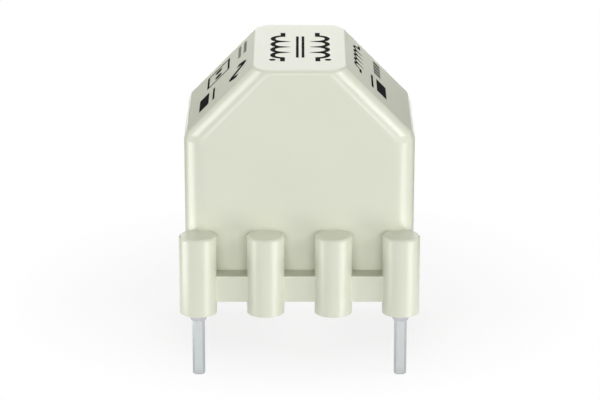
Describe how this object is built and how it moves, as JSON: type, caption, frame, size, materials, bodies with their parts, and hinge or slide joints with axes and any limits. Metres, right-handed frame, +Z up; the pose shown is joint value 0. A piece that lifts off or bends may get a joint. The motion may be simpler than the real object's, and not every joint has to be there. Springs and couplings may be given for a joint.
{
  "type": "common mode choke",
  "caption": "Potted ring core choke in a pale moulded hood with sloped shoulders, standing on two rows of barrels with square pins at the corners.",
  "frame": {"origin": "centre of the terminal grid, on the board plane under the barrel feet", "axes": "+Z up from the board to the top of the hood, X along the rows of terminals, -Y towards the front row"},
  "size_m": [0.0178, 0.0178, 0.0231],
  "materials": {
    "case_plastic": "smooth moulded PBT, pale ivory green",
    "resin": "cast filled resin, dark grey",
    "core_coating": "epoxy coated ferrite, green",
    "divider_plastic": "moulded plate",
    "enamelled_wire": "enamelled copper wire",
    "pin_metal": "tinned wire, drawn",
    "solder_metal": "solder, smooth"
  },
  "bodies": {
    "root": {"case": "case_plastic", "potting": "resin", "ring_core": "core_coating", "divider": "divider_plastic", "winding_left": "enamelled_wire", "winding_right": "enamelled_wire", "pin_front_left": "pin_metal", "pin_front_right": "pin_metal", "pin_rear_left": "pin_metal", "pin_rear_right": "pin_metal", "solder_front_left": "solder_metal", "solder_front_right": "solder_metal", "solder_rear_left": "solder_metal", "solder_rear_right": "solder_metal"}
  },
  "joints": []
}
